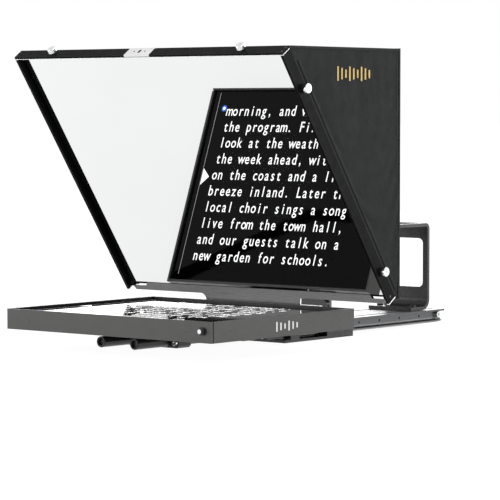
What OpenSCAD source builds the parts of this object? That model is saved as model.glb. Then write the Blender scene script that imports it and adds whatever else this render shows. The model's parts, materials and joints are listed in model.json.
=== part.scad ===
// Teleprompter: a flat monitor lies on two rods under a slanted beamsplitter glass with a cloth
// hood. A slide rail carries the glass, the monitor and the camera riser, and runs on a base plate.
// The origin is the tripod socket, at the underside of the base plate. +Y runs from the presenter
// to the camera, +X is the presenter's right, and +Z is up. All lengths are in millimetres.

/* [Base plate] */
// Width of the base plate
base_w = 112; // [108:1:130]
// Length of the base plate
base_l = 158; // [150:1:180]
// Thickness of the base plate's floor
base_t = 3.7; // [3:0.1:3.8]
// Radius of the 3/8 inch tripod thread
tripod_r = 4.76; // [4.5:0.01:4.9]
// Radius of the 1/4 inch threads
quarter_r = 3.17; // [3:0.01:3.3]

/* [Slide rail] */
// Width across the top flange
rail_w = 100; // [96:1:104]
// Height of the rail's top face above the origin
rail_top = 25; // [24.5:0.1:25.5]
// Length of the rail
rail_l = 389.5; // [380:0.5:430]
// Spacing of the tapped holes along each side
side_pitch = 50; // [40:1:60]

/* [Rods] */
// Radius of the two rods
rod_r = 7.5; // [7.5:0.1:8]
// Distance between the rods' centres
rod_pitch = 60; // [58:1:62]
// Height of the rods' centres
rod_z = 17.15; // [17:0.05:17.3]
// Length of each rod
rod_l = 289; // [260:1:290]

/* [Cross plate] */
// Overall width of the cross plate
cross_w = 460; // [440:1:460]
// Thickness of the cross plate
cross_t = 5; // [4:0.5:5]
// Half width of the cross plate's stem
stem_half = 90; // [70:1:100]

/* [Monitor] */
// Outer width of the monitor
mon_w = 367; // [350:1:380]
// Outer depth of the monitor, front to back
mon_d = 302.3; // [296:0.1:310]
// Outer height of the monitor
mon_h = 28; // [27:0.5:32]
// Thickness of the monitor's walls
wall = 3; // [2:0.5:3.5]
// Depth of the cover glass below the rim
recess = 3.6; // [2:0.1:4]
// Thickness of the monitor's front plate
front_t = 2; // [1.5:0.1:3]

/* [Glass frame] */
// Overall width of the glass frame
frame_w = 478.8; // [476:0.1:490]
// Length of the side rails along the slope
side_l = 407.4; // [395:0.1:415]
// Depth of the frame's flat bars
bar_d = 17; // [16:0.5:18]
// Thickness of the frame's flat bars
bar_t = 4; // [3.5:0.1:4.2]
// Angle of the glass above level
glass_angle = 55.2; // [50:0.1:58]
// Thickness of the beamsplitter glass
glass_t = 3; // [2:0.1:3]

/* [Hood] */
// Thickness of the hood's cloth panels
cloth_t = 2; // [1.5:0.1:2.4]
// Radius of the lens opening
lens_r = 80; // [60:1:90]
// Height of the lens opening's centre
lens_z = 226; // [215:1:240]

/* [Riser] */
// Width of the camera riser
riser_w = 80; // [70:1:90]
// Thickness of the riser's plate
riser_t = 5; // [4:0.5:5]
// Height of the riser's camera plate above the origin
riser_top = 156.5; // [150:0.5:170]

/* [Hidden] */
$fn = 48;
e = 1;                      // overrun of a cut past a face
gap = 0.3;                  // gap between pieces that slide past each other
fit = 0.05;                 // radial clearance of a running fit
sides = [-1, 1];            // left and right
tap_r = 1.65;               // M4 tapped holes and the shanks in them

// base plate and jaws
rib_half = 15.5;            // guide rib on the base plate
rib_top = 9.5;
jaw_spans = [[-66, -46], [18, 79]];   // front and rear jaw, along Y
jaw_hook_z = [12.9, 21.3];  // hook of a jaw, inside the rail's side channel
jaw_screw_x = 50;
jaw_screw_in = 6;           // from a jaw's ends
knob_y = 48;                // sled lock knob
knob_z = 17;
knob_reach = 12.5;          // loosened lock screw, inside its jaw
small_thread_y = 56;        // 1/4 inch threads before and behind the tripod socket

// slide rail
rail_front = -72.2;
rail_back = rail_front + rail_l;
rail_half = rail_w / 2;
rail_bottom = 4;
web_half = 41;              // side channel's inner wall
flange_z = 21.8;            // underside of the top flange
foot_half = 45;             // lower flange
slot_x = 31;                // T-slot's centre line
slot_mouth = 6;
slot_wide = 11;
slot_floor = 17.4;
side_hole_z = 16.8;
side_hole_first = -36.5;
stop_y = 308;               // end stop screws

// cross plate, with its front face at cross_y
cross_y = rail_front - cross_t - 0.3;
bar_low = 64;
bar_high = 75;
arm_high = 70;
bar_half = 203;
plate_screws = [[39.5, 10], [20.5, 7.6]];   // X and Z of the screws into the slide rail
block_l = 32.5;             // rod block
latch_x = 129;              // latch lever's pivot
latch_z = 59;
latch_top = 64.6;

// glass frame: its own X is the part's X, its Y is its depth and its Z runs up the slope
foot = [0, -81.5, 63];      // front lower edge of the side rails
lean = 90 - glass_angle;
frame_half = frame_w / 2;
inner_half = frame_half - bar_t;
pivot_s = 8;                // pivot axis, up the slope and into the depth
pivot_t = 8.5;
pivot_r = 2;
knuckle_r = 4.2;
knuckle_x = [230, 235.1];
pivot = foot + [0, pivot_t * cos(lean) - pivot_s * sin(lean),
    pivot_t * sin(lean) + pivot_s * cos(lean)];
glass_at = 9.5;             // front face of the glass, in the frame's depth
glass_half = inner_half - 3.5;
glass_low = 9.1;            // lower edge of the glass, up the slope
glass_high = side_l - 3;
glass_back = glass_at + glass_t;
ledge_half = 221;
ledge_low = 7.9;
ledge_t = [13.3, 14.5];     // the ledge's lip behind the glass
ledge_high = 24;
pad_back = 14.3;            // back of the rubber pads in the upper corners
thumb_r = 2.5;              // thread of the thumbscrews
thumb_s = [48, 348];        // side thumbscrews, up the slope
thumb_t = 11.8;
top_thumb_x = [-170, 168];
corner_screw_t = [4, 13];   // screws through the top rail into the side rails
corner_screw_r = 0.8;
corner_leg = 26;            // corner angles behind the glass
corner_wide = 8;
hoop_r = 2;
hoop_x = 233.2;
hoop_y = -61.2;
shoe_x = [-33, 12];         // accessory plate on the top rail
hood_top = 411;
hood_back = -56.5;
hood_low = 70;
stay_z = [405.5, 408.5];
hood_half = frame_half - 0.4 - cloth_t;

// monitor
mon_low = 28;
mon_high = mon_low + mon_h;
mon_back = -87;
mon_front = mon_back - mon_d;
mon_half = mon_w / 2;
cover_top = mon_high - recess;
clamp_spans = [[-300, -275], [-160, -135]];  // front and rear rod clamp, along Y
clamp_low = 8;
clamp_high = 25.6;
clamp_half = 50;
clamp_screw = [45, 15.3];
button_at = [168, 43.3];
menu_y = -320;
case_holes = [-354, -291, -182, -121];
seam = 2;                   // groove between the front plate and the case
seam_depth = 2;
case_screw_r = 2.1;
case_screw_z = 42;
front_screw = [141, 41.3];
mount_hole_x = 62;
mount_hole_y = [-262, -162];
menu_z = 42;
menu_r = 3;
bezel_t = 1.2;
inlet_z = 38.5;
ports = [-216, -148];       // connector opening, along Y
inlet_y = -159;             // power inlet
inlet_r = 2.9;

// riser
riser_back = 292;
riser_low = rail_top + gap;
flange_front = 245;
plate_front = 200;
bend_low = 16;
bend_high = 9;
screw_y = 262;
cam_y = 240;                // camera screw
cam_slot = [215, 265];
washer_t = 2;
neck_r = 2.2;               // reduced shank that keeps the camera screw captive
pad_top = riser_top + 0.5;
pad_t = 2;
pad_low = [-30, 206];       // the pad's corners in plan
pad_high = [30, 276];

black = "#1c1d1e";
dark_metal = "#5a5a57";
silver = "#c4c5c6";
chrome = "#e6e7e8";
cloth = "#2b2e2d";

// A box from its lowest to its highest corner
module block(low, high) {
    translate(low) cube(high - low);
}

// A plate cut from an outline in Y and Z, from x along +X
module yz_plate(x, thick) {
    translate([x, 0, 0]) rotate([90, 0, 90]) linear_extrude(thick) children();
}

// A plate cut from an outline in X and Z, from y along +Y
module xz_plate(y, thick) {
    translate([0, y + thick, 0]) rotate([90, 0, 0]) linear_extrude(thick) children();
}

// Round bars along each axis, from their first end
module along_x(from, r, l) {
    translate(from) rotate([0, 90, 0]) cylinder(r = r, h = l);
}
module along_y(from, r, l) {
    translate(from) rotate([-90, 0, 0]) cylinder(r = r, h = l);
}
module along_z(from, r, l) {
    translate(from) cylinder(r = r, h = l);
}

// Puts its children into the frame of the slanted glass
module slanted() {
    translate(foot) rotate([lean, 0, 0]) children();
}

// Points of an arc, from angle a to angle b
function arc(centre, r, a, b, steps = 8) =
    [for (i = [0:steps]) centre + r * [cos(a + (b - a) * i / steps), sin(a + (b - a) * i / steps)]];

// The points of the right half of an outline, and then those of its mirror image
function both_halves(p) = concat(p, [for (i = [len(p) - 1:-1:0]) [-p[i].x, p[i].y]]);

// A slot with round ends along Y, cut upwards from z
module slot_y(y, r, z, l) {
    for (end = y) along_z([0, end, z], r, l);
    block([-r, y[0], z], [r, y[1], z + l]);
}

// A knurled screw on +Z: a collar, a head with a dimple, and a plain shank below z = 0
module thumbscrew(shank) {
    difference() {
        rotate_extrude()
            polygon([[0, -shank], [thumb_r - fit, -shank], [thumb_r - fit, 0.2], [4.4, 0.2],
                [4.4, 2.4], [5.8, 2.4], [6.5, 3.1], [6.5, 7.9], [5.8, 8.6], [0, 8.6]]);
        for (a = [0:15:345])
            rotate([0, 0, a]) translate([6.75, 0, 2]) cylinder(r = 0.45, h = 8);
        along_z([0, 0, 7.4], 1.6, 2);
    }
}

// A screw with a flat round head on +Z and its shank below z = 0
module cap_screw(head_r, head_h, shank_r, shank) {
    difference() {
        union() {
            cylinder(r = head_r, h = head_h);
            along_z([0, 0, -shank], shank_r, shank + 0.5);
        }
        translate([0, 0, head_h * 0.4]) cylinder(r = head_r * 0.5, h = head_h, $fn = 6);
    }
}

// ---- base plate, fixed to the tripod ----

function jaw_screw_y(span) = [span[0] + jaw_screw_in, span[1] - jaw_screw_in];

module base_plate() color(black) difference() {
    union() {
        block([-base_w / 2, -base_l / 2, 0], [base_w / 2, base_l / 2, base_t]);
        block([-rib_half, jaw_spans[0][0], 0], [rib_half, base_l / 2, rib_top]);
    }
    along_z([0, 0, -e], tripod_r, rib_top + 2 * e);
    for (y = [-small_thread_y, small_thread_y])
        along_z([0, y, -e], quarter_r, rib_top + 2 * e);
    for (s = sides, span = jaw_spans, y = jaw_screw_y(span)) {
        along_z([s * jaw_screw_x, y, -e], 2.1, base_t + 2 * e);
        along_z([s * jaw_screw_x, y, -e], 3.6, e + 2);
    }
}

module slide_jaws() color(black) for (s = sides, span = jaw_spans) difference() {
    union() {
        mirror([s < 0 ? 1 : 0, 0, 0])
            block([foot_half + gap, span[0], base_t], [base_w / 2, span[1], jaw_hook_z[1]]);
        mirror([s < 0 ? 1 : 0, 0, 0])
            block([web_half + gap, span[0], jaw_hook_z[0]], [base_w / 2, span[1], jaw_hook_z[1]]);
    }
    for (y = jaw_screw_y(span)) along_z([s * jaw_screw_x, y, base_t - e], 2, 9 + e);
    if (s < 0) along_x([-base_w / 2 - e, knob_y, knob_z], 2.5, base_w / 2 - web_half + 2 * e);
}

module jaw_screws() color(silver) for (s = sides, span = jaw_spans, y = jaw_screw_y(span))
    translate([s * jaw_screw_x, y, 2]) mirror([0, 0, 1]) cap_screw(3.5, 1.8, 2, 10);

module glide_strips() color("ivory") for (s = sides)
    block([s * 27 - 8, -64, base_t], [s * 27 + 8, 76, base_t + 0.25]);

module sled_lock_knob() color(black) translate([-base_w / 2, knob_y, knob_z])
    rotate([0, -90, 0]) difference() {
        union() {
            along_z([0, 0, gap], 5, 4);
            along_z([0, 0, 4], 10, 12);
            along_z([0, 0, -knob_reach], 2.5 - fit, knob_reach + 1);
        }
        for (a = [0:45:315]) rotate([0, 0, a]) along_z([11.2, 0, 3], 2.4, 14);
    }

// ---- slide rail, rods and cross plate ----

module rail_outline() {
    difference() {
        polygon(both_halves(concat(
            [[16, 10], [16, rail_bottom], [34, rail_bottom], [foot_half, 7.2], [foot_half, 8.6]],
            arc([foot_half, 12.6], 4, -90, -180),
            [[web_half, flange_z - 0.6], [web_half + 0.6, flange_z], [rail_half, flange_z + 0.6],
                [rail_half, rail_top - 0.6], [rail_half - 0.6, rail_top]])));
        for (s = sides) translate([s * slot_x, slot_floor]) {
            translate([-slot_wide / 2, 0]) square([slot_wide, flange_z - slot_floor]);
            translate([-slot_mouth / 2, 0]) square([slot_mouth, rail_top]);
        }
        translate([-22, 12.6]) square([44, 8.4]);
    }
}

module slide_rail() color(silver) difference() {
    xz_plate(rail_front, rail_l) rail_outline();
    for (s = sides, y = [side_hole_first:side_pitch:rail_back - 40])
        along_x([s * web_half - 5, y, side_hole_z], tap_r, 10);
    for (s = sides, p = plate_screws)
        along_y([s * p[0], rail_front - e, p[1]], tap_r, 16);
    for (s = sides) along_x([s * web_half - 5, stop_y, side_hole_z], tap_r, 10);
}

module end_stop_screws() color(chrome) for (s = sides)
    translate([s * web_half, stop_y, side_hole_z]) rotate([0, s * 90, 0])
        cap_screw(4.5, 5, tap_r, 4);

module rod_block() color(black) difference() {
    block([-48, cross_y - block_l, 6], [48, cross_y, 27]);
    for (s = sides) along_y([s * rod_pitch / 2, cross_y - block_l - e, rod_z], rod_r, block_l + 2 * e);
    for (s = sides, p = plate_screws) {
        along_y([s * p[0], cross_y - block_l - e, p[1]], tap_r, block_l + 2 * e);
        along_y([s * p[0], cross_y - block_l - e, p[1]], 3.2, e + 3);
    }
}

// One tubular rod, on the side given by s
module rod(s) {
    color(black) along_tube([s * rod_pitch / 2, cross_y - rod_l, rod_z], rod_r, rod_r - 1.5, rod_l);
}
module along_tube(from, r, hole_r, l) {
    difference() {
        along_y(from, r, l);
        along_y(from - [0, e, 0], hole_r, l + 2 * e);
    }
}
module rod_left() rod(-1);
module rod_right() rod(1);

module rod_caps() color("#0c0c0c") for (s = sides)
    translate([s * rod_pitch / 2, cross_y - rod_l, rod_z]) rotate([-90, 0, 0]) rotate_extrude()
        polygon([[0, 3], [rod_r - 3, 3], [rod_r - 2.4, -0.8], [rod_r - 0.3, -0.8], [rod_r - 0.3, 0],
            [rod_r - 1.5, 0], [rod_r - 1.5, 9], [0, 9]]);

module cross_plate_outline() {
    fillet = 11;
    polygon(both_halves(concat(
        [[48, 5], [48, 20], [stem_half - 6, 44], [stem_half, 50]],
        arc([stem_half + fillet, bar_low - fillet], fillet, 180, 90),
        [[cross_w / 2 - 5, bar_low], [cross_w / 2, bar_low + 4.5], [cross_w / 2, arm_high],
            [bar_half + 4, arm_high], [bar_half, bar_high]])));
    translate([latch_x - 4.5, latch_z - 5]) square([9, bar_low - latch_z + 5 + e]);
}

module cross_plate() color(dark_metal) difference() {
    xz_plate(cross_y, cross_t) cross_plate_outline();
    for (s = sides, p = plate_screws) along_y([s * p[0], cross_y - e, p[1]], tap_r, cross_t + 2 * e);
    along_y([latch_x, cross_y - e, latch_z], 2, cross_t + 2 * e);
}

module cross_plate_screws() color(silver) for (s = sides, p = plate_screws)
    translate([s * p[0], cross_y - block_l + 3, p[1]]) rotate([90, 0, 0])
        cap_screw(3, 2.8, tap_r, block_l + cross_t + 8);

// Knuckles that carry the glass frame, on the ends of the cross plate
module pivot_blocks() color(black) for (s = sides) difference() {
    union() {
        pivot_bar(s, knuckle_x[0], knuckle_x[1], knuckle_r);
        mirror([s < 0 ? 1 : 0, 0, 0])
            block([knuckle_x[0], cross_y, bar_low + 5], [knuckle_x[1], cross_y + cross_t, pivot[2]]);
    }
    pivot_bar(s, knuckle_x[0] - e, knuckle_x[1] + e, pivot_r);
}

// A bar on the glass frame's pivot axis, from a to b away from the middle, on side s
module pivot_bar(s, a, b, r) {
    mirror([s < 0 ? 1 : 0, 0, 0]) along_x([a, pivot[1], pivot[2]], r, b - a);
}

module pivot_pins() color(silver) for (s = sides)
    pivot_bar(s, knuckle_x[0] + 0.5, frame_half - 0.3, pivot_r);

module latch_lever() color(black) {
    along_y([latch_x, cross_y - 6.3, latch_z], 4.4, 6);
    along_y([latch_x, cross_y - 0.4, latch_z], 2 - fit, cross_t);
    block([88.5, cross_y - 6.3, latch_z - 2.4], [latch_x, cross_y - gap, latch_top]);
}

// Bare metal angle along the lever's tip and lower edge
module latch_edge() color(silver) {
    block([87.3, cross_y - 6.3, latch_z - 3.6], [88.5, cross_y - gap, latch_top]);
    block([88.4, cross_y - 6.3, latch_z - 3.6], [118, cross_y - gap, latch_z - 2.4]);
}

// ---- camera riser ----

module riser_outline() {
    low = [riser_back - bend_low, riser_low + bend_low];
    high = [riser_back - bend_high, riser_top - bend_high];
    polygon(concat([[flange_front, riser_low]], arc(low, bend_low, -90, 0),
        arc(high, bend_high, 0, 90),
        [[plate_front, riser_top], [plate_front, riser_top - riser_t]],
        arc(high, bend_high - riser_t, 90, 0), arc(low, bend_low - riser_t, 0, -90),
        [[flange_front, riser_low + riser_t]]));
}

module riser_bracket() color(black) difference() {
    yz_plate(-riser_w / 2, riser_w) riser_outline();
    riser_window(31, [59, 133], 8);
    block([pad_low[0], pad_low[1], pad_top - pad_t], [pad_high[0], pad_high[1], riser_top + e]);
    slot_y(cam_slot, 3.4, riser_top - riser_t - e, riser_t + 2 * e);
    for (s = sides) along_z([s * slot_x, screw_y, riser_low - e], 2.6, riser_t + 2 * e);
}

// Window in the riser's upright wall, with round corners
module riser_window(half, z, r) {
    xz_plate(riser_back - riser_t - e, riser_t + 2 * e) {
        translate([-half, z[0] + r]) square([2 * half, z[1] - z[0] - 2 * r]);
        translate([-half + r, z[0]]) square([2 * (half - r), z[1] - z[0]]);
        for (s = sides, c = [z[0] + r, z[1] - r]) translate([s * (half - r), c]) circle(r);
    }
}

module riser_screws() color(silver) for (s = sides)
    translate([s * slot_x, screw_y, riser_low + riser_t]) cap_screw(4.6, 2.6, 2.4, 12);

module riser_t_nuts() color(silver) for (s = sides) difference() {
    block([s * slot_x - 5, screw_y - 12, slot_floor + 0.5],
        [s * slot_x + 5, screw_y + 12, flange_z - gap]);
    along_z([s * slot_x, screw_y, slot_floor - e], 2.4, 8);
}

module camera_pad() color("#151515") difference() {
    block([pad_low[0], pad_low[1], pad_top - pad_t], [pad_high[0], pad_high[1], pad_top]);
    slot_y(cam_slot, 4, pad_top - pad_t - e, pad_t + 2 * e);
}

module camera_washer() color(silver) difference() {
    along_z([0, cam_y, riser_top - riser_t - gap - washer_t], 11, washer_t);
    along_z([0, cam_y, riser_top - riser_t - 4], quarter_r + 0.1, 8);
}

module camera_screw() color(chrome) difference() {
    head_top = riser_top - riser_t - washer_t - 2 * gap;
    union() {
        along_z([0, cam_y, head_top - 12], 10, 12);
        along_z([0, cam_y, head_top - 1], neck_r, pad_top - head_top + 2);
        along_z([0, cam_y, pad_top], quarter_r, 5.5);
    }
    for (a = [0:20:340])
        translate([10.3 * cos(a), cam_y + 10.3 * sin(a), head_top - 13]) cylinder(r = 0.9, h = 14);
}

// ---- slanted glass frame ----

// One side rail of the glass frame: a flat bar, with its pivot hole and two tapped holes
module frame_rail(s) {
    color(black) slanted() mirror([s < 0 ? 1 : 0, 0, 0]) difference() {
        block([inner_half, 0, 0], [frame_half, bar_d, side_l]);
        along_x([inner_half - e, pivot_t, pivot_s], pivot_r + fit, bar_t + 2 * e);
        for (h = thumb_s) along_x([inner_half - e, thumb_t, h], thumb_r, bar_t + 2 * e);
        for (t = corner_screw_t) along_z([inner_half + bar_t / 2, t, side_l - 10], corner_screw_r, 12);
    }
}
module frame_rail_left() frame_rail(-1);
module frame_rail_right() frame_rail(1);

module frame_rail_top() color(black) slanted() difference() {
    block([-frame_half, 0, side_l], [frame_half, bar_d, side_l + bar_t]);
    block([shoe_x[0] - 0.6, -e, side_l + 2], [shoe_x[1] + 0.6, bar_d + e, side_l + bar_t + e]);
    for (x = top_thumb_x) along_z([x, bar_d / 2, side_l - e], thumb_r, bar_t + 2 * e);
    for (s = sides, t = corner_screw_t) {
        along_z([s * (inner_half + bar_t / 2), t, side_l - e], corner_screw_r, bar_t + 2 * e);
        along_z([s * (inner_half + bar_t / 2), t, side_l + bar_t - 1], 1.4, 3);
    }
}

// Angle under and behind the glass's lower edge, with a tab to each side rail
module glass_ledge() color(black) slanted() {
    block([-ledge_half, glass_at, ledge_low], [ledge_half, ledge_t[1], glass_low]);
    block([-ledge_half, ledge_t[0], ledge_low], [ledge_half, ledge_t[1], ledge_high]);
    for (s = sides) mirror([s < 0 ? 1 : 0, 0, 0])
        block([ledge_half - e, ledge_t[0], 14], [inner_half, ledge_t[1], ledge_high]);
}

module corner_brackets() color(black) slanted() for (s = sides) mirror([s < 0 ? 1 : 0, 0, 0]) {
    difference() {
        block([inner_half - corner_leg, pad_back, side_l - corner_leg], [inner_half, bar_d, side_l]);
        block([inner_half - corner_leg - e, pad_back - e, side_l - corner_leg - e],
            [inner_half - corner_wide, bar_d + e, side_l - corner_wide]);
    }
}

module frame_screws() color(silver) slanted() for (s = sides, t = corner_screw_t) {
    along_z([s * (inner_half + bar_t / 2), t, side_l - 8], corner_screw_r, 8 + bar_t - 1);
    along_z([s * (inner_half + bar_t / 2), t, side_l + bar_t - 1], 1.4, 0.9);
}

module beamsplitter_glass() color("lightblue", 0.4) slanted() difference() {
    block([-glass_half, glass_at, glass_low], [glass_half, glass_back, glass_high]);
    for (s = sides) mirror([s < 0 ? 1 : 0, 0, 0])
        block([knuckle_x[0] - 1.5, 0, 0], [glass_half + e, glass_back + e, 13.5]);
}

// Rubber pads behind the glass: a strip in the ledge and an angle at each upper corner
module glass_gaskets() color("#0e0e0e") slanted() {
    block([-ledge_half, glass_back, glass_low], [ledge_half, ledge_t[0], 20]);
    for (s = sides) mirror([s < 0 ? 1 : 0, 0, 0]) {
        block([inner_half - corner_leg, glass_back, side_l - corner_wide],
            [glass_half - 0.1, pad_back, glass_high - 0.1]);
        block([inner_half - corner_wide, glass_back, side_l - corner_leg],
            [glass_half - 0.1, pad_back, side_l - corner_wide + e]);
    }
}

module accessory_plate() color(silver) slanted() difference() {
    block([shoe_x[0], -0.6, side_l + 2], [shoe_x[1], bar_d - 0.4, side_l + bar_t + 0.8]);
    for (t = [6.6, 10.2]) along_z([-10.5, t, side_l], 2.1, 10);
    for (x = [-20, -1]) along_z([x, bar_d / 2, side_l], 1.3, 10);
    block([-12.6, 6.6, side_l], [-8.4, 10.2, side_l + 10]);
}

// A hood side in the Y-Z plane, from the back edge of the side rail to the hood's rear
function up_slope(s, t) = [foot[1] + t * cos(lean) - s * sin(lean),
    foot[2] + t * sin(lean) + s * cos(lean)];
module hood_side(s) {
    color(cloth) mirror([s < 0 ? 1 : 0, 0, 0]) yz_plate(hood_half, cloth_t)
        polygon([up_slope(0, bar_d), up_slope(side_l + bar_t, bar_d), [-300, hood_top],
            [hood_back, hood_top], [hood_back, hood_low], [up_slope(0, bar_d)[0], hood_low]]);
}
module hood_side_left() hood_side(-1);
module hood_side_right() hood_side(1);

module hood_top_panel() color(cloth)
    block([-hood_half, -299.8, hood_top - cloth_t], [hood_half, hood_back, hood_top]);

module hood_rear_panel() color(cloth) difference() {
    block([-hood_half, hood_back - cloth_t, hood_low + 2], [hood_half, hood_back, hood_top - cloth_t]);
    along_y([0, hood_back - cloth_t - e, lens_z], lens_r, cloth_t + 2 * e);
}

module hood_hoop() color(silver) {
    top = stay_z[0] - hoop_r - gap;
    for (s = sides) {
        along_z([s * hoop_x, hoop_y, hood_low + 8], hoop_r, top - hood_low - 8);
        translate([s * hoop_x, hoop_y, top]) sphere(hoop_r);
    }
    along_x([-hoop_x, hoop_y, top], hoop_r, 2 * hoop_x);
}

module hood_stays() color(black) for (s = sides)
    block([s * 232.5 - 1.5, -296.5, stay_z[0]], [s * 232.5 + 1.5, -59.5, stay_z[1]]);

// A hood thumbscrew on side s, h up the slope
module side_thumbscrew(s, h) {
    color(chrome) slanted() translate([s * frame_half, thumb_t, h]) rotate([0, s * 90, 0])
        thumbscrew(bar_t - 0.2);
}
module thumbscrew_left_low() side_thumbscrew(-1, thumb_s[0]);
module thumbscrew_left_high() side_thumbscrew(-1, thumb_s[1]);
module thumbscrew_right_low() side_thumbscrew(1, thumb_s[0]);
module thumbscrew_right_high() side_thumbscrew(1, thumb_s[1]);

module top_thumbscrew(x) {
    color(chrome) slanted() translate([x, bar_d / 2, side_l + bar_t]) thumbscrew(bar_t - 0.2);
}
module thumbscrew_top_left() top_thumbscrew(top_thumb_x[0]);
module thumbscrew_top_right() top_thumbscrew(top_thumb_x[1]);

// ---- monitor, on the rods ----

module monitor_front() color(dark_metal) difference() {
    block([-mon_half, mon_front, mon_low], [mon_half, mon_front + front_t, mon_high]);
    along_y([button_at[0], mon_front - e, button_at[1]], 4, front_t + 2 * e);
    for (s = sides)
        along_y([s * front_screw[0], mon_front - e, front_screw[1]], case_screw_r, front_t + 2 * e);
}

module monitor_case() color(dark_metal) difference() {
    block([-mon_half, mon_front + front_t, mon_low], [mon_half, mon_back, mon_high]);
    block([-mon_half + wall, mon_front, mon_low - e], [mon_half - wall, mon_back - wall, mon_high + e]);
    for (s = sides) mirror([s < 0 ? 1 : 0, 0, 0])
        block([mon_half - seam_depth, mon_front, mon_low - e],
            [mon_half + e, mon_front + front_t + seam, mon_high + e]);
    block([-mon_half - e, ports[0], 33], [-mon_half + wall + e, ports[1], 45]);
    along_x([-mon_half - e, menu_y, menu_z], menu_r + fit, wall + 2 * e);
    for (s = sides, y = case_holes)
        along_x([s * mon_half - wall - e, y, case_screw_z], case_screw_r, 2 * wall + 2 * e);
}

module monitor_rear_cover() color(black) difference() {
    block([-mon_half + wall, mon_front + wall, mon_low], [mon_half - wall, mon_back - wall, mon_low + 2]);
    for (s = sides, y = [-330:8:-306]) block([s * 120 - 30, y, 0], [s * 120 + 30, y + 3, 40]);
    for (s = sides, y = mount_hole_y) along_z([s * mount_hole_x, y, mon_low - e], 2, 4);
}

module lcd_panel() color("#101418")
    block([-172, mon_front + 10, cover_top - 5.4], [172, mon_back - 10, cover_top - 3.4]);

module backlight_unit() color("whitesmoke")
    block([-172, mon_front + 10, cover_top - 14], [172, mon_back - 10, cover_top - 5.4]);

module cover_glass() color("#0a0a0c") block([-mon_half + wall, mon_front + wall, cover_top - 3.2],
    [mon_half - wall, mon_back - wall, cover_top]);

// Black frame that lines the recess above the cover glass
module screen_bezel() color("#0a0a0c") difference() {
    block([-mon_half + wall, mon_front + front_t, cover_top],
        [mon_half - wall, mon_back - wall, mon_high - 0.4]);
    block([-mon_half + wall + bezel_t, mon_front + front_t + bezel_t, cover_top - e],
        [mon_half - wall - bezel_t, mon_back - wall - bezel_t, mon_high + e]);
}

module control_board() color("darkgreen") {
    block([-168, -262, 32], [-60, -142, 33.6]);
    for (x = [-150, -110, -80]) block([x - 9, -215, 33.5], [x + 9, -190, 35.6]);
}

// Socket block behind the case's opening, with two video sockets and a round power inlet
module connector_panel() color("#202020") difference() {
    block([-mon_half + wall, ports[0] - 2, 32], [-mon_half + wall + 8, ports[1] + 2, 46]);
    for (y = [-210, -190])
        block([-mon_half + wall - e, y, 36], [-mon_half + wall + 7, y + 14.4, 41]);
    along_x([-mon_half + wall - e, inlet_y, inlet_z], inlet_r, 8);
}

module monitor_screws() color("#2a2a2a") {
    for (s = sides, y = case_holes)
        translate([s * (mon_half - wall), y, case_screw_z]) rotate([0, s * 90, 0])
            cylinder(r = case_screw_r, h = wall - 0.2);
    for (s = sides)
        along_y([s * front_screw[0], mon_front + 0.2, front_screw[1]], case_screw_r, front_t - 0.2);
}

module monitor_mount_plate() color(black) difference() {
    block([-80, -308, clamp_high], [80, -124, mon_low]);
    for (s = sides, y = mount_hole_y) along_z([s * mount_hole_x, y, clamp_high - e], 2.2, 5);
}

// Two blocks that hold the monitor on the rods
module rod_clamps() color(black) for (span = clamp_spans) difference() {
    xz_plate(span[0], span[1] - span[0]) polygon(both_halves([[12, 13], [17, clamp_low],
        [clamp_half - 3, clamp_low], [clamp_half, clamp_low + 3], [clamp_half, clamp_high]]));
    for (s = sides) along_y([s * rod_pitch / 2, span[0] - e, rod_z], rod_r + fit, 30);
    if (span == clamp_spans[0]) along_y([clamp_screw[0], span[0] - e, clamp_screw[1]], 2.5, 18);
}

module rod_clamp_screw() color(chrome) translate([clamp_screw[0], clamp_spans[0][0], clamp_screw[1]])
    rotate([90, 0, 0]) difference() {
        union() {
            along_z([0, 0, gap], 3.8, 4);
            along_z([0, 0, -16], 2.5 - fit, 17);
        }
        along_z([0, 0, 3], 1.8, 3, $fn = 6);
    }

module power_button() color(chrome) along_y([button_at[0], mon_front - 6.6, button_at[1]], 3, 12);

module button_bushing() color("#111111") difference() {
    union() {
        along_y([button_at[0], mon_front - 3, button_at[1]], 5.2, 3);
        along_y([button_at[0], mon_front - 0.1, button_at[1]], 4, 9);
    }
    along_y([button_at[0], mon_front - 4, button_at[1]], 3 + fit, 14);
}

module menu_button() color(black) along_x([-mon_half - 1.5, menu_y, menu_z], menu_r, 9);

base_plate();
slide_jaws();
jaw_screws();
glide_strips();
sled_lock_knob();
slide_rail();
end_stop_screws();
rod_block();
rod_left();
rod_right();
rod_caps();
cross_plate();
cross_plate_screws();
pivot_blocks();
pivot_pins();
latch_lever();
latch_edge();
riser_bracket();
riser_screws();
riser_t_nuts();
camera_pad();
camera_washer();
camera_screw();
frame_rail_left();
frame_rail_right();
frame_rail_top();
glass_ledge();
corner_brackets();
frame_screws();
beamsplitter_glass();
glass_gaskets();
accessory_plate();
hood_side_left();
hood_side_right();
hood_top_panel();
hood_rear_panel();
hood_hoop();
hood_stays();
thumbscrew_left_low();
thumbscrew_left_high();
thumbscrew_right_low();
thumbscrew_right_high();
thumbscrew_top_left();
thumbscrew_top_right();
monitor_front();
monitor_case();
monitor_rear_cover();
lcd_panel();
backlight_unit();
cover_glass();
screen_bezel();
control_board();
connector_panel();
monitor_screws();
monitor_mount_plate();
rod_clamps();
rod_clamp_screw();
power_button();
button_bushing();
menu_button();
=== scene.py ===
# Looks of the teleprompter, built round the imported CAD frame. Lengths are in metres.
import json
import math
import random

import bpy
from mathutils import Matrix, Vector


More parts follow.
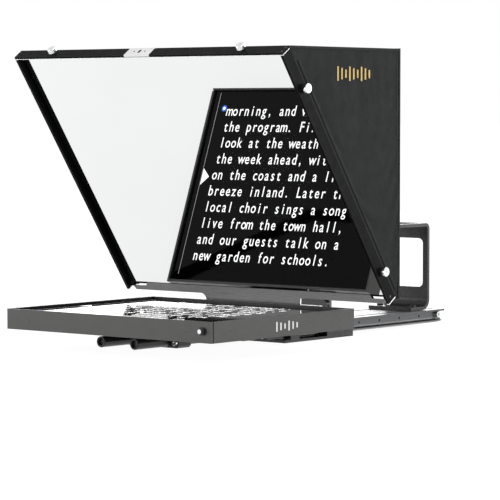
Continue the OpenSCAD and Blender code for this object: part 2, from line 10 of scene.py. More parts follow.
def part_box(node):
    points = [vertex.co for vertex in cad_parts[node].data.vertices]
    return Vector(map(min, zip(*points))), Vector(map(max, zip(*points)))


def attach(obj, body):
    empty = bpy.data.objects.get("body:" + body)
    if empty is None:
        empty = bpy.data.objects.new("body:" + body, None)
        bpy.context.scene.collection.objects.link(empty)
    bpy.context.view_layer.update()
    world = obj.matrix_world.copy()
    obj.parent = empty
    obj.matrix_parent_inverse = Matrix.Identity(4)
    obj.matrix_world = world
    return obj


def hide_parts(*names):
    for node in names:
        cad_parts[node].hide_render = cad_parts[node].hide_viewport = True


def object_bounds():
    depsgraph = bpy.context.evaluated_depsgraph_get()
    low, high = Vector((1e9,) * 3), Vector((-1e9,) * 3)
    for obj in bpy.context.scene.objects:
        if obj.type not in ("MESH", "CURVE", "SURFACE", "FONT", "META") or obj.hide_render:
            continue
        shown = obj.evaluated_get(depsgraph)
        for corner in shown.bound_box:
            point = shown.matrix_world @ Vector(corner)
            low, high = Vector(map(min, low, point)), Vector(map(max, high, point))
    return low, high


MM = 0.001
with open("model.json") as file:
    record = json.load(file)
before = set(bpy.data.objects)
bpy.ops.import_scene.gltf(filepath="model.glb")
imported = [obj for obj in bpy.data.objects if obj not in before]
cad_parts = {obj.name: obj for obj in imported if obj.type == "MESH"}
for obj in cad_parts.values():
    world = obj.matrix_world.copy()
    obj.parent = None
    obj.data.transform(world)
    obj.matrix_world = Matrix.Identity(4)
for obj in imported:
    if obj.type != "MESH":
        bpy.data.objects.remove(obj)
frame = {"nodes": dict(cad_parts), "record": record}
cad_low, cad_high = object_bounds()
random.seed(7)

# ---- the frame of the slanted glass, from the CAD side bars ----

GLASS_ANGLE = math.radians(55.2)
BAR_DEPTH = 17 * MM
rail_low, rail_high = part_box("frame_rail_right")
UP = Vector((0, -math.cos(GLASS_ANGLE), math.sin(GLASS_ANGLE)))
DEEP = Vector((0, math.sin(GLASS_ANGLE), math.cos(GLASS_ANGLE)))
FOOT_Y = rail_high.y - BAR_DEPTH * DEEP.y
FOOT = Vector((0, FOOT_Y, rail_low.z))
FRAME_HALF = rail_high.x
# Length of the side bars along the slope.
SLOPE = (rail_high.z - rail_low.z - BAR_DEPTH * DEEP.z) / UP.z


def slanted(x, depth, up):
    """A point in the glass frame: across, into its depth and up its slope."""
    return FOOT + Vector((x, 0, 0)) + DEEP * depth + UP * up


# ---- camera, lights and floor ----

CAMERA_PLACE = (2.3362, -2.9346, 0.3286)
CAMERA_AZIMUTH = math.radians(39.38)
CAMERA_PITCH = math.radians(3.09)
CAMERA_LENS = 187.85

WORLD_LIGHT = 1.0
FLOOR_Z = cad_low.z - 0.001
FLOOR_HALF = 40
FLOOR_COLOR = (0.13, 0.13, 0.13, 1)
FLOOR_GLOW = 0.96

# Each softbox: name, place, width, height and power in watts. All face LIT_MIDDLE.
LIT_MIDDLE = (0, -0.1, 0.2)
LIGHTS = [("left softbox", (-2.1, -2.7, 0.75), 2.6, 1.5, 44),
          ("right softbox", (2.2, 2.6, 0.75), 2.6, 1.5, 40),
          ("rear softbox", (-2.9, 3.6, 0.9), 3.6, 1.7, 60),
          ("key", (1.6, -1.6, 2.6), 1.6, 1.6, 12),
          ("overhead", (0, 0.5, 3.4), 3.2, 3.2, 40)]


def make_camera():
    data = bpy.data.cameras.new("camera")
    data.lens = CAMERA_LENS
    data.sensor_width = 36
    data.clip_end = 200
    camera = bpy.data.objects.new("camera", data)
    camera.location = CAMERA_PLACE
    camera.rotation_euler = (math.pi / 2 - CAMERA_PITCH, 0, CAMERA_AZIMUTH)
    bpy.context.scene.collection.objects.link(camera)
    bpy.context.scene.camera = camera


def area_light(name, place, wide, tall, power):
    data = bpy.data.lights.new(name, "AREA")
    data.energy = power
    data.shape = "RECTANGLE"
    data.size = wide
    data.size_y = tall
    light = bpy.data.objects.new(name, data)
    light.location = place
    facing = Vector(LIT_MIDDLE) - Vector(place)
    light.rotation_euler = facing.to_track_quat("-Z", "Y").to_euler()
    light.visible_camera = False
    bpy.context.scene.collection.objects.link(light)


def make_world():
    """A plain white surround, the same in every direction."""
    world = bpy.data.worlds.new("studio")
    world.use_nodes = True
    background = world.node_tree.nodes["Background"]
    background.inputs["Color"].default_value = (1, 1, 1, 1)
    background.inputs["Strength"].default_value = WORLD_LIGHT
    bpy.context.scene.world = world


def make_floor():
    """A pale floor that gives off light of its own, so that it stays as white as the surround."""
    mesh = bpy.data.meshes.new("floor")
    corners = [(-FLOOR_HALF, -FLOOR_HALF, FLOOR_Z), (FLOOR_HALF, -FLOOR_HALF, FLOOR_Z),
               (FLOOR_HALF, FLOOR_HALF, FLOOR_Z), (-FLOOR_HALF, FLOOR_HALF, FLOOR_Z)]
    mesh.from_pydata(corners, [], [(0, 1, 2, 3)])
    floor = bpy.data.objects.new("floor", mesh)
    bpy.context.scene.collection.objects.link(floor)
    material = bpy.data.materials.new("floor")
    material.use_nodes = True
    shader = material.node_tree.nodes["Principled BSDF"]
    shader.inputs["Base Color"].default_value = FLOOR_COLOR
    shader.inputs["Roughness"].default_value = 1.0
    shader.inputs["Specular IOR Level"].default_value = 0.0
    shader.inputs["Emission Color"].default_value = (1, 1, 1, 1)
    shader.inputs["Emission Strength"].default_value = FLOOR_GLOW
    mesh.materials.append(material)


def make_studio():
    bpy.context.scene.view_settings.view_transform = "Standard"
    make_world()
    make_floor()
    for light in LIGHTS:
        area_light(*light)


# ---- materials ----

WEAR = 0.5 * MM


class Surface:
    """A node material that starts from one Principled shader."""

    def __init__(self, name, color, roughness, metallic=0.0, specular=None):
        self.material = bpy.data.materials.new(name)
        self.material.use_nodes = True
        self.tree = self.material.node_tree
        self.shader = self.tree.nodes["Principled BSDF"]
        self.color = color
        self.roughness = roughness
        self.shader.inputs["Base Color"].default_value = (*color, 1)
        self.shader.inputs["Roughness"].default_value = roughness
        self.shader.inputs["Metallic"].default_value = metallic
        if specular is not None:
            self.shader.inputs["Specular IOR Level"].default_value = specular
        self.place = self.node("ShaderNodeTexCoord").outputs["Object"]

    def node(self, kind, **values):
        made = self.tree.nodes.new(kind)
        for key, value in values.items():
            setattr(made, key, value)
        return made

    def link(self, a, b):
        self.tree.links.new(a, b)

    def noise(self, scale, detail=4, stretch=(1, 1, 1)):
        mapping = self.node("ShaderNodeMapping")
        mapping.inputs["Scale"].default_value = stretch
        self.link(self.place, mapping.inputs["Vector"])
        noise = self.node("ShaderNodeTexNoise")
        noise.inputs["Scale"].default_value = scale
        noise.inputs["Detail"].default_value = detail
        self.link(mapping.outputs["Vector"], noise.inputs["Vector"])
        return noise.outputs["Fac"]

    def spread(self, value, low, high, start=0.3, end=0.7):
        """value, from start to end, mapped onto low to high."""
        remap = self.node("ShaderNodeMapRange")
        remap.inputs["From Min"].default_value = start
        remap.inputs["From Max"].default_value = end
        remap.inputs["To Min"].default_value = low
        remap.inputs["To Max"].default_value = high
        self.link(value, remap.inputs["Value"])
        return remap.outputs["Result"]

    def mix(self, factor, a, b):
        """Colour a where factor is 0 and b where it is 1; a or b may be a socket."""
        mixer = self.node("ShaderNodeMix", data_type="RGBA")
        self.link(factor, mixer.inputs["Factor"])
        for value, socket in ((a, mixer.inputs["A"]), (b, mixer.inputs["B"])):
            if isinstance(value, bpy.types.NodeSocket):
                self.link(value, socket)
            else:
                socket.default_value = (*value, 1)
        return mixer.outputs["Result"]

    def edges(self, radius):
        """1 near a sharp edge and 0 away from it."""
        bevel = self.node("ShaderNodeBevel", samples=6)
        bevel.inputs["Radius"].default_value = radius
        geometry = self.node("ShaderNodeNewGeometry")
        dot = self.node("ShaderNodeVectorMath", operation="DOT_PRODUCT")
        self.link(bevel.outputs["Normal"], dot.inputs[0])
        self.link(geometry.outputs["Normal"], dot.inputs[1])
        return self.spread(dot.outputs["Value"], 1, 0, 0.86, 0.995)

    def vary(self, amount, scale, rough_amount=0.06, rough_scale=None, stretch=(1, 1, 1)):
        """Colour and roughness that wander a little over the surface."""
        dark = [c * (1 - amount) for c in self.color]
        light = [min(1, c * (1 + amount)) for c in self.color]
        self.base = self.mix(self.spread(self.noise(scale, 4, stretch), 0, 1), dark, light)
        self.link(self.base, self.shader.inputs["Base Color"])
        rough = self.noise(rough_scale or scale * 3, 5, stretch)
        low, high = self.roughness - rough_amount, self.roughness + rough_amount
        self.link(self.spread(rough, max(0, low), high), self.shader.inputs["Roughness"])
        return self

    def worn(self, color, radius, strength=0.6, scale=300):
        """Bare metal that shows through along the edges, in patches."""
        patches = self.spread(self.noise(scale, 3), 0.25, strength, 0.35, 0.65)
        mask = self.node("ShaderNodeMath", operation="MULTIPLY")
        self.link(self.edges(radius), mask.inputs[0])
        self.link(patches, mask.inputs[1])
        self.base = self.mix(mask.outputs["Value"], self.base, color)
        self.link(self.base, self.shader.inputs["Base Color"])
        return self

    def bumps(self, height, strength, distance):
        bump = self.node("ShaderNodeBump")
        bump.inputs["Strength"].default_value = strength
        bump.inputs["Distance"].default_value = distance
        self.link(height, bump.inputs["Height"])
        self.link(bump.outputs["Normal"], self.shader.inputs["Normal"])
        return self

    def grain(self, scale, strength, distance=0.2 * MM, stretch=(1, 1, 1)):
        return self.bumps(self.noise(scale, 3, stretch), strength, distance)


def black_anodised():
    surface = Surface("black_anodised", (0.005, 0.0052, 0.0052), 0.3, specular=0.36)
    return surface.vary(0.25, 40).worn((0.1, 0.1, 0.102), WEAR, 0.55).grain(2500, 0.2)


def frame_black():
    """Dull black of the glass frame's side bars."""
    surface = Surface("frame_black", (0.0014, 0.0016, 0.0016), 0.45, specular=0.045)
    return surface.vary(0.25, 40).worn((0.1, 0.1, 0.102), WEAR, 0.6).grain(2500, 0.2)


def top_bar_painted_lighter_black():
    """Black of the glass frame's top bar: a copy of the side bars' black painted lighter, worn edges
    too, for the light that falls on the top bar.
    """
    surface = Surface("top_bar_painted_lighter_black", (0.0035, 0.0036, 0.0036), 0.45, specular=0.03)
    return surface.vary(0.2, 40).worn((0.12, 0.12, 0.12), WEAR, 0.6).grain(2500, 0.2)


def dark_powder():
    surface = Surface("dark_powder", (0.017, 0.0167, 0.0152), 0.38, specular=0.5)
    return surface.vary(0.07, 25).worn((0.2, 0.2, 0.195), WEAR, 0.5).grain(3200, 0.3)


def brushed_plate():
    """Satin black plate that has been brushed across, with a broad sheen."""
    surface = Surface("brushed_plate", (0.074, 0.074, 0.075), 0.3, 0.9)
    brushed = (1, 60, 60)
    surface.vary(0.16, 26, 0.08, 60, brushed).worn((0.3, 0.3, 0.3), 0.6 * MM, 0.6)
    return surface.grain(120, 0.15, stretch=brushed)


def silver_anodised():
    surface = Surface("silver_anodised", (0.08, 0.081, 0.083), 0.34, 1.0)
    brushed = (90, 1, 90)
    surface.vary(0.06, 12, 0.07, 30, brushed)
    return surface.grain(60, 0.12, stretch=brushed)


def bare_aluminium():
    surface = Surface("bare_aluminium", (0.72, 0.72, 0.73), 0.32, 1.0)
    surface.vary(0.08, 30, 0.08, 60, (1, 30, 30))
    return surface.grain(200, 0.2, stretch=(1, 20, 20))


def chrome():
    surface = Surface("chrome", (0.74, 0.75, 0.76), 0.12, 1.0)
    return surface.vary(0.04, 200, 0.05).grain(1500, 0.05)


def steel_screws():
    return Surface("steel_screws", (0.4, 0.4, 0.41), 0.34, 1.0).vary(0.12, 300).grain(1800, 0.2)


def black_steel():
    surface = Surface("black_steel", (0.008, 0.008, 0.0085), 0.34, specular=0.5)
    return surface.vary(0.3, 200).grain(1800, 0.2)


def black_plastic():
    surface = Surface("black_plastic", (0.006, 0.006, 0.0065), 0.5, specular=0.3)
    return surface.vary(0.2, 60).grain(2800, 0.35)


def white_plastic():
    return Surface("white_plastic", (0.62, 0.6, 0.52), 0.45).vary(0.06, 60).grain(1500, 0.2)


def rubber():
    surface = Surface("rubber", (0.007, 0.007, 0.0075), 0.75, specular=0.25)
    return surface.vary(0.2, 80).grain(2200, 0.5)


def circuit_board():
    return Surface("circuit_board", (0.02, 0.12, 0.05), 0.4).vary(0.3, 400).grain(900, 0.3)


def lcd():
    return Surface("lcd", (0.01, 0.01, 0.012), 0.3).vary(0.2, 50)


def screen_glass():
    surface = Surface("screen_glass", (0.001, 0.001, 0.0012), 0.05, specular=0.1)
    return surface.vary(0.2, 8, 0.02, 20)


def mirror_glass():
    """Beamsplitter glass: a bright mirror that lets a little through."""
    surface = Surface("mirror_glass", (0.79, 0.795, 0.795), 0.01, 1.0)
    surface.shader.inputs["Alpha"].default_value = 0.985
    return surface.vary(0.012, 6, 0.006, 12)


def gold_print():
    return Surface("gold_print", (0.42, 0.3, 0.1), 0.5, 0.3).vary(0.15, 200).grain(2200, 0.3)


def white_print():
    return Surface("white_print", (0.6, 0.6, 0.58), 0.6).vary(0.1, 200).grain(2200, 0.2)


def thread():
    return Surface("thread", (0.05, 0.052, 0.052), 0.6).vary(0.25, 900).grain(3000, 0.4)


WEAVE_PITCH = 0.9 * MM


def weave_lines(surface):
    """A fine plain weave, as height."""
    threads = []
    for across in ((1, 0, 0), (0, 1, 1)):
        dot = surface.node("ShaderNodeVectorMath", operation="DOT_PRODUCT")
        surface.link(surface.place, dot.inputs[0])
        dot.inputs[1].default_value = across
        wave = surface.node("ShaderNodeMath", operation="MULTIPLY")
        surface.link(dot.outputs["Value"], wave.inputs[0])
        wave.inputs[1].default_value = 2 * math.pi / WEAVE_PITCH
        sine = surface.node("ShaderNodeMath", operation="SINE")
        surface.link(wave.outputs["Value"], sine.inputs[0])
        threads.append(sine.outputs["Value"])
    weave = surface.node("ShaderNodeMath", operation="MULTIPLY")
    for thread_height, socket in zip(threads, weave.inputs):
        surface.link(thread_height, socket)
    return weave.outputs["Value"]


def hood_fabric():
    """Black laminated nylon: a fine plain weave with a soft sheen."""
    surface = Surface("hood_fabric", (0.0086, 0.0098, 0.0095), 0.62, specular=0.1)
    surface.shader.inputs["Sheen Weight"].default_value = 0.02
    surface.shader.inputs["Sheen Roughness"].default_value = 0.5
    surface.vary(0.2, 45, 0.06, 90)
    return surface.bumps(weave_lines(surface), 0.25, 0.2 * MM)


def hood_binding():
    """Ribbed tape that binds the hood's edges."""
    surface = Surface("hood_binding", (0.01, 0.0105, 0.0105), 0.7, specular=0.25)
    surface.vary(0.25, 60, 0.06, 120)
    return surface.bumps(weave_lines(surface), 0.5, 0.3 * MM)


MAKERS = [black_anodised, dark_powder, silver_anodised, bare_aluminium, chrome, steel_screws,
          black_steel, black_plastic, white_plastic, rubber, circuit_board, lcd, screen_glass,
          mirror_glass, hood_fabric, brushed_plate, frame_black, top_bar_painted_lighter_black, gold_print,
          white_print, thread, hood_binding]

# Nodes whose finish differs from the one that their slot in the record names.
# The top bar's finish is a lighter copy of the side bars' black: painted light.
FINISHES = {"cross_plate": "brushed_plate", "frame_rail_left": "frame_black",
            "frame_rail_right": "frame_black", "frame_rail_top": "top_bar_painted_lighter_black",
            "pivot_blocks": "frame_black", "glass_ledge": "frame_black"}


def dress_nodes(materials):
    """Gives each CAD node its finish, or else the material of its slot in the record."""
    slots = {part["node"]: part["material_slot"] for part in frame["record"]["subparts"]}
    for name, node in frame["nodes"].items():
        node.data.materials.clear()
        node.data.materials.append(materials[FINISHES.get(name, slots[name])])


# ---- shared mesh helpers ----

def mesh_object(name, verts, faces, material, body, smooth=False):
    mesh = bpy.data.meshes.new(name)
    mesh.from_pydata([tuple(v) for v in verts], [], faces)
    mesh.materials.append(material)
    for face in mesh.polygons:
        face.use_smooth = smooth
    made = bpy.data.objects.new(name, mesh)
    bpy.context.scene.collection.objects.link(made)
    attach(made, body)
    return made


def apply_modifiers(made):
    """Leaves the shape that the modifiers give, with no modifier on the piece."""
    graph = bpy.context.evaluated_depsgraph_get()
    shaped = bpy.data.meshes.new_from_object(made.evaluated_get(graph))
    made.modifiers.clear()
    made.data = shaped


def strip(verts, faces, a, b, wide, proud, chamfer=0.25 * MM):
    """Adds a flat bar from a to b, its outer long edges chamfered; wide and proud are half sizes."""
    start = len(verts)
    w, p = wide.normalized(), proud.normalized()
    half, high = wide.length, proud.length
    ring = [(-half, -high), (half, -high), (half, high - chamfer), (half - chamfer, high),
            (-half + chamfer, high), (-half, high - chamfer)]
    for end in (a, b):
        verts.extend(end + w * u + p * v for u, v in ring)
    count = len(ring)
    for k in range(count):
        n = (k + 1) % count
        faces.append((start + k, start + n, start + count + n, start + count + k))
    faces.append(tuple(start + k for k in reversed(range(count))))
    faces.append(tuple(start + count + k for k in range(count)))


def circle(count, start=0.0):
    """Angles of count points round a full turn."""
    return [2 * math.pi * (k + start) / count for k in range(count)]


# ---- the cloth hood ----

HOOD_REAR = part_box("hood_rear_panel")[1].y
HOOD_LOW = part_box("hood_side_right")[0].z
HOOD_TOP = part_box("hood_top_panel")[1].z
HOOD_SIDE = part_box("hood_side_right")[1].x
LENS = Vector((0, HOOD_REAR, 226 * MM))
LENS_R = 80 * MM
CLOTH_T = 1.1 * MM
PANEL_INSET = 0.3 * MM
REAR_INSET = 1.5 * MM
REAR_GAP = 2 * MM
SETTLE_FRAMES = 18
FIRST_SAG = 0.5
OUTWARD_SHARE = 0.25
SIDEWAYS_SHARE = 0.3


def rail_back_y(z):
    """Where the back edge of the side bars is at a height."""
    foot = slanted(0, BAR_DEPTH, 0)
    return foot.y + (z - foot.z) * UP.y / UP.z


def patch(corners, across, up):
    """Grid of points between corners given low left, low right, high right, high left."""
    low_left, low_right, high_right, high_left = corners
    verts = []
    for j in range(up + 1):
        v = j / up
        left, right = low_left.lerp(high_left, v), low_right.lerp(high_right, v)
        verts.extend(left.lerp(right, i / across) for i in range(across + 1))
    row = across + 1
    faces = [(j * row + i, j * row + i + 1, (j + 1) * row + i + 1, (j + 1) * row + i)
             for j in range(up) for i in range(across)]
    rim = [k for k in range(len(verts))
           if k % row in (0, across) or k // row in (0, up)]
    return verts, faces, rim


def reach(span, step):
    """How far a ray goes to gain span, where it gains step per unit."""
    return span / step if abs(step) > 1e-6 else math.inf


def rear_points(count, rings):
    """Rings of points from the lens opening out to the edge of the rear panel."""
    half, low, high = HOOD_SIDE - REAR_INSET, HOOD_LOW + REAR_GAP, HOOD_TOP - REAR_GAP
    verts = []
    for r in range(rings + 1):
        for angle in circle(count):
            c, s = math.cos(angle), math.sin(angle)
            rim_r = min(reach(half, abs(c)), reach((high if s > 0 else low) - LENS.z, s))
            edge = LENS_R + (rim_r - LENS_R) * r / rings
            verts.append(Vector((c * edge, HOOD_REAR - PANEL_INSET, LENS.z + s * edge)))
    faces = [(r * count + k, r * count + (k + 1) % count,
              (r + 1) * count + (k + 1) % count, (r + 1) * count + k)
             for r in range(rings) for k in range(count)]
    rim = list(range(count)) + list(range(rings * count, (rings + 1) * count))
    return verts, faces, rim


def settle(cloth, rim, slack, cap, inward):
    """Lets the sewn-in panel sag and pucker between its held edges, then keeps the result."""
    start = [v.co.copy() for v in cloth.data.vertices]
    rest = [p + inward * random.uniform(0, FIRST_SAG) * MM for p in start]
    held = set(rim)
    for k, v in enumerate(cloth.data.vertices):
        v.co = start[k] if k in held else rest[k]
    group = cloth.vertex_groups.new(name="sewn")
    group.add(rim, 1.0, "REPLACE")
    settings = cloth.modifiers.new("cloth", "CLOTH").settings
    settings.quality = 5
    settings.mass = 0.12
    settings.tension_stiffness = 25
    settings.compression_stiffness = 12
    settings.shear_stiffness = 8
    settings.bending_stiffness = 0.15
    settings.shrink_min = -slack
    settings.vertex_group_mass = "sewn"
    scene = bpy.context.scene
    for frame_number in range(1, SETTLE_FRAMES + 1):
        scene.frame_set(frame_number)
    graph = bpy.context.evaluated_depsgraph_get()
    moved = [v.co.copy() for v in cloth.evaluated_get(graph).data.vertices]
    cloth.modifiers.clear()
    cloth.vertex_groups.clear()
    for k, v in enumerate(cloth.data.vertices):
        shift = moved[k] - start[k]
        along = max(-OUTWARD_SHARE * cap, min(cap, shift.dot(inward)))
        sideways = (shift - inward * shift.dot(inward)) * SIDEWAYS_SHARE
        v.co = start[k] + inward * along + sideways
    scene.frame_set(1)


def finish_cloth(cloth):
    """Gives the panel its thickness, inwards from the outer face, and rounds its folds."""
    solid = cloth.modifiers.new("thickness", "SOLIDIFY")
    solid.thickness = CLOTH_T
    solid.offset = -1
    smooth = cloth.modifiers.new("smooth", "SUBSURF")
    smooth.levels = smooth.render_levels = 1
    apply_modifiers(cloth)
    for face in cloth.data.polygons:
        face.use_smooth = True


def add_panel(name, shape, outward, slack, cap, node):
    """One panel of the hood. cap is how far it may sink inwards."""
    verts, faces, rim = shape
    a, b, c = (verts[k] for k in faces[0][:3])
    if (b - a).cross(c - b).dot(outward) < 0:
        faces = [tuple(reversed(face)) for face in faces]
    cloth = mesh_object(name, verts, faces, materials["hood_fabric"], "glass_frame", smooth=True)
    settle(cloth, rim, slack, cap, -outward)
    finish_cloth(cloth)
    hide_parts(node)


def make_hood_panels():
    low_y, top_y = rail_back_y(HOOD_LOW), rail_back_y(HOOD_TOP)
    for side, label in ((-1, "left"), (1, "right")):
        x = side * (HOOD_SIDE - PANEL_INSET)
        corners = [Vector((x, low_y, HOOD_LOW)), Vector((x, HOOD_REAR, HOOD_LOW)),
                   Vector((x, HOOD_REAR, HOOD_TOP)), Vector((x, top_y, HOOD_TOP))]
        add_panel("hood_cloth_" + label, patch(corners, 34, 46), Vector((side, 0, 0)), 0.0012,
                  1.6 * MM, "hood_side_" + label)
    half = HOOD_SIDE - 0.5 * MM
    z = HOOD_TOP - PANEL_INSET
    corners = [Vector((-half, top_y, z)), Vector((half, top_y, z)),
               Vector((half, HOOD_REAR, z)), Vector((-half, HOOD_REAR, z))]
    add_panel("hood_cloth_top", patch(corners, 60, 32), Vector((0, 0, 1)), 0.002, 6 * MM,
              "hood_top_panel")
    add_panel("hood_cloth_rear", rear_points(128, 18), Vector((0, 1, 0)), 0.003, 4 * MM,
              "hood_rear_panel")


# ---- piping, binding and stitches of the hood ----

TAPE_Y = HOOD_REAR - 1.2 * MM
SEAM_PROUD = 0.1 * MM
STITCH_PITCH = 3.2 * MM
STITCH_LENGTH = 2.2 * MM
STITCH_HALF = 0.22 * MM
STITCH_HIGH = 0.2 * MM
STITCH_CHAMFER = 0.1 * MM
LENS_STITCHES = 150


def tube(name, points, radius, material, sides=12, closed=False):
    """A round cord of cloth along points on the glass frame; open ends taper a little."""
    verts, faces = [], []
    count = len(points)
    for k, point in enumerate(points):
        before = points[k - 1] if k or closed else point
        after = points[(k + 1) % count] if k < count - 1 or closed else point
        forward = (after - before).normalized()
        side = forward.orthogonal() if abs(forward.x) > 0.99 else forward.cross(Vector((1, 0, 0)))
        side.normalize()
        over = forward.cross(side)
        size = radius
        if not closed and k in (0, count - 1):
            size = radius * 0.6
        for angle in circle(sides):
            verts.append(point + (side * math.cos(angle) + over * math.sin(angle)) * size)
    spans = count if closed else count - 1
    for k in range(spans):
        here, there = k * sides, (k + 1) % count * sides
        for turn in range(sides):
            beside = (turn + 1) % sides
            faces.append((here + turn, here + beside, there + beside, there + turn))
    if not closed:
        faces.append(tuple(reversed(range(sides))))
        faces.append(tuple((count - 1) * sides + turn for turn in range(sides)))
    return mesh_object(name, verts, faces, material, "glass_frame", smooth=True)


def stitch_run(verts, faces, a, b, outward):
    """Adds a run of short stitches from a to b."""
    span = b - a
    along = span.normalized()
    across = along.cross(outward).normalized()
    for k in range(int(span.length / STITCH_PITCH)):
        start = a + along * (k * STITCH_PITCH)
        strip(verts, faces, start, start + along * STITCH_LENGTH, across * STITCH_HALF,
              outward * STITCH_HIGH, STITCH_CHAMFER)


def side_piping(side, label):
    """The piped edge that meets the side bar."""
    x = side * (HOOD_SIDE - 0.6 * MM)
    ridge = [slanted(x, 22 * MM, up * MM) for up in range(6, 388, 6)]
    tube("hood_piping_" + label, ridge, 1.7 * MM, materials["hood_fabric"])


def side_binding(side, label):
    """Tapes along the front, rear and top edges of a side."""
    outward = Vector((side, 0, 0))
    verts, faces = [], []
    x = side * (HOOD_SIDE - 0.3 * MM)
    strip(verts, faces, slanted(x, 18.6 * MM, 4 * MM), slanted(x, 18.6 * MM, 392 * MM),
          DEEP * 1.8 * MM, outward * 0.5 * MM)
    x = side * (HOOD_SIDE - 0.2 * MM)
    y = TAPE_Y - 1.4 * MM
    strip(verts, faces, Vector((x, y, HOOD_LOW)), Vector((x, y, HOOD_TOP)),
          Vector((0, 1.8 * MM, 0)), outward * 0.5 * MM)
    z = HOOD_TOP - 2.2 * MM
    strip(verts, faces, Vector((x, rail_back_y(HOOD_TOP) + 3 * MM, z)), Vector((x, TAPE_Y, z)),
          Vector((0, 0, 1.6 * MM)), outward * 0.45 * MM)
    tape = mesh_object("hood_binding_" + label, verts, faces, materials["hood_binding"],
                       "glass_frame")


def side_stitches(verts, faces, side):
    """Seams beside the rear tape and beside the piping."""
    outward = Vector((side, 0, 0))
    x, y = side * (HOOD_SIDE + SEAM_PROUD), TAPE_Y - 6.5 * MM
    stitch_run(verts, faces, Vector((x, y, HOOD_LOW + 4 * MM)), Vector((x, y, HOOD_TOP - 5 * MM)),
               outward)
    stitch_run(verts, faces, slanted(x, 25.5 * MM, 12 * MM), slanted(x, 25.5 * MM, 385 * MM),
               outward)


def rear_binding():
    """Tapes along the rear panel's top and bottom edges."""
    verts, faces = [], []
    half = HOOD_SIDE - 1 * MM
    for z in (HOOD_TOP - 1.6 * MM, HOOD_LOW + 3 * MM):
        strip(verts, faces, Vector((-half, TAPE_Y, z)), Vector((half, TAPE_Y, z)),
              Vector((0, 0, 1.6 * MM)), Vector((0, 1.2 * MM, 0)))
    tape = mesh_object("hood_binding_rear", verts, faces, materials["hood_binding"],
                       "glass_frame")


def lens_point(angle, radius, y):
    """A point on a circle round the lens opening."""
    return Vector((math.cos(angle) * radius, y, LENS.z + math.sin(angle) * radius))


def lens_ring():
    """The bound edge of the lens opening."""
    ring = [lens_point(angle, LENS_R + 3 * MM, HOOD_REAR - 0.6 * MM) for angle in circle(96)]
    bound = tube("hood_lens_ring", ring, 2.6 * MM, materials["hood_binding"], closed=True)


def lens_stitches(verts, faces):
    """A ring of stitches round the lens opening."""
    radius, y = LENS_R + 7.5 * MM, HOOD_REAR + SEAM_PROUD
    back = Vector((0, 1, 0))
    for a, b in zip(circle(LENS_STITCHES), circle(LENS_STITCHES, 0.6)):
        p, q = lens_point(a, radius, y), lens_point(b, radius, y)
        strip(verts, faces, p, q, (q - p).cross(back).normalized() * STITCH_HALF,
              back * STITCH_HIGH, STITCH_CHAMFER)


def make_hood_trim():
    verts, faces = [], []
    for side, label in ((-1, "left"), (1, "right")):
        side_piping(side, label)
        side_binding(side, label)
        side_stitches(verts, faces, side)
    rear_binding()
    lens_ring()
    lens_stitches(verts, faces)
    mesh_object("hood_stitches", verts, faces, materials["thread"], "glass_frame")


# ---- details on the metal ----

END_PROUD = 0.05 * MM


def make_cut_ends_and_painted_highlights():
    """Bare metal at the cut feet of the black side bars, and painted highlights: light strips at the
    side bars' upper ends and along the top bar's front edge.
    """
    verts, faces = [], []
    thick = FRAME_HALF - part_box("frame_rail_right")[0].x
    for side in (-1, 1):
        x = side * (FRAME_HALF - thick / 2)
        proud = Vector((side * (thick / 2 + END_PROUD), 0, 0))
        low, high = 0.75 * MM, SLOPE - 0.3 * MM
        # Bare metal at the cut foot of the side bar.
        strip(verts, faces, slanted(x, -END_PROUD, low), slanted(x, BAR_DEPTH + END_PROUD, low),
              UP * 0.8 * MM, proud, 0.2 * MM)
        # A light strip at the side bar's upper end, under the top bar: a painted highlight.
        strip(verts, faces, slanted(x, -END_PROUD, high), slanted(x, BAR_DEPTH, high),
              UP * 0.3 * MM, proud, 0.1 * MM)
    # A light strip along the top bar's front edge: a painted highlight.
    half, edge = FRAME_HALF - 0.5 * MM, SLOPE + 0.3 * MM
    strip(verts, faces, slanted(-half, 0.2 * MM, edge), slanted(half, 0.2 * MM, edge),
          UP * 0.3 * MM, -DEEP * 0.3 * MM, 0.1 * MM)
    # One piece holds the bare cut feet of the side bars and the painted highlight strips.
    ends = mesh_object("cut_ends_and_painted_highlights", verts, faces, materials["bare_aluminium"], "glass_frame")


BAR_PITCH = 8.6


def printed_bars(name, material, body, x, first_y, count, low, high, step, half, proud, chamfer):
    """A row of upright printed bars in three heights. All but x is in mm."""
    verts, faces = [], []
    for k in range(count):
        y = (first_y + BAR_PITCH * k) * MM
        shrink = step * (k % 3)
        foot, head = Vector((x, y, (low + shrink) * MM)), Vector((x, y, (high - shrink) * MM))
        strip(verts, faces, foot, head, Vector((0, half * MM, 0)), Vector((proud * MM, 0, 0)),
              chamfer * MM)
    mesh_object(name, verts, faces, material, body)


def make_marks():
    """Plain printed bars on the hood's side and on the monitor's side."""
    printed_bars("hood_mark", materials["gold_print"], "glass_frame", HOOD_SIDE + 0.1 * MM,
                 -197, 9, 366, 385, 2, 1.6, 0.25, 0.1)
    printed_bars("monitor_mark", materials["white_print"], "monitor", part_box("monitor_case")[1].x,
                 -256, 6, 35, 48, 1.5, 1.5, 0.15, 0.05)


# ---- what the screen shows ----

LINES = ["morning, and welcome to", "the program. First, a", "look at the weather for",
         "the week ahead, with sun", "on the coast and a light",
         "breeze inland. Later the", "local choir sings a song", "live from the town hall,",
         "and our guests talk on a", "new garden for schools."]
TEXT_LEFT = -148.5 * MM
TEXT_FIRST = -346.9 * MM
LETTER_PITCH = 11 * MM
LEADING = 24.95 * MM
LETTER_SIZE = 23 * MM
LETTER_NARROW = 0.8
# The picture lies just above the cover glass.
PICTURE_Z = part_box("cover_glass")[1].z + 0.2 * MM


def screen_light(name, color, strength):
    surface = Surface(name, (0, 0, 0), 0.5)
    surface.shader.inputs["Emission Color"].default_value = (*color, 1)
    surface.shader.inputs["Emission Strength"].default_value = strength
    return surface.material


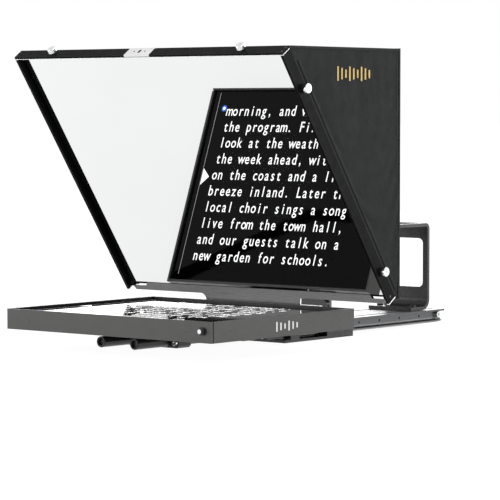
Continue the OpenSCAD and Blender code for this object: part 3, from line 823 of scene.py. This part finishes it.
def make_letter(letter, x, y):
    curve = bpy.data.curves.new("letter", "FONT")
    curve.body = letter
    curve.size = LETTER_SIZE
    curve.align_x = "CENTER"
    curve.offset = 0.1 * MM
    curve.resolution_u = 3
    glyph = bpy.data.objects.new("letter", curve)
    glyph.matrix_world = (Matrix.Translation((x, y, PICTURE_Z))
                          @ Matrix.Diagonal((LETTER_NARROW, -1, 1, 1)))
    bpy.context.scene.collection.objects.link(glyph)
    return glyph


def make_screen_text(material):
    """The script's words, mirrored front to back so that the glass shows them the right way."""
    letters = [make_letter(letter, TEXT_LEFT + (column + 0.5) * LETTER_PITCH,
                           TEXT_FIRST + row * LEADING)
               for row, line in enumerate(LINES)
               for column, letter in enumerate(line) if letter != " "]
    bpy.ops.object.select_all(action="DESELECT")
    for glyph in letters:
        glyph.select_set(True)
    bpy.context.view_layer.objects.active = letters[0]
    bpy.ops.object.convert(target="MESH")
    bpy.ops.object.join()
    text = bpy.context.object
    text.name = "screen_text"
    bpy.ops.object.transform_apply(location=True, rotation=True, scale=True)
    text.data.materials.clear()
    text.data.materials.append(material)
    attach(text, "monitor")


def flat_shape(name, outline, faces, material, lift=0.0):
    """A flat piece of the picture; outline is in mm."""
    verts = [Vector((x * MM, y * MM, PICTURE_Z + lift * MM)) for x, y in outline]
    mesh_object(name, verts, faces, material, "monitor")


def make_screen_signs():
    """The reading marker, the blue dot and the edge line of the picture."""
    white = screen_light("marker_white", (1, 1, 1), 1.6)
    blue = screen_light("dot_blue", (0.03, 0.16, 0.8), 1.2)
    grey = screen_light("line_grey", (0.55, 0.55, 0.55), 0.8)
    marker = [(-153.5, -251.3), (-167, -264), (-167, -255), (-167, -247), (-167, -238)]
    flat_shape("screen_marker", marker, [(0, 1, 2), (0, 2, 3), (0, 3, 4)], white)
    for name, radius, material, lift in (("screen_dot", 4.8, blue, 0),
                                         ("screen_dot_middle", 2.4, white, 0.1)):
        ring = [(-155 + radius * math.cos(t), -358.4 + radius * math.sin(t)) for t in circle(40)]
        flat_shape(name, ring, [tuple(range(40))], material, lift)
    line = [(-168.4, -383), (-167.6, -383), (-167.6, -100), (-168.4, -100)]
    flat_shape("screen_edge_line", line, [(0, 1, 2, 3)], grey)


make_camera()
make_studio()
materials = {maker.__name__: maker().material for maker in MAKERS}
dress_nodes(materials)
make_screen_text(screen_light("screen_white", (1, 1, 1), 1.6))
make_screen_signs()
make_hood_panels()
make_hood_trim()
make_cut_ends_and_painted_highlights()
make_marks()
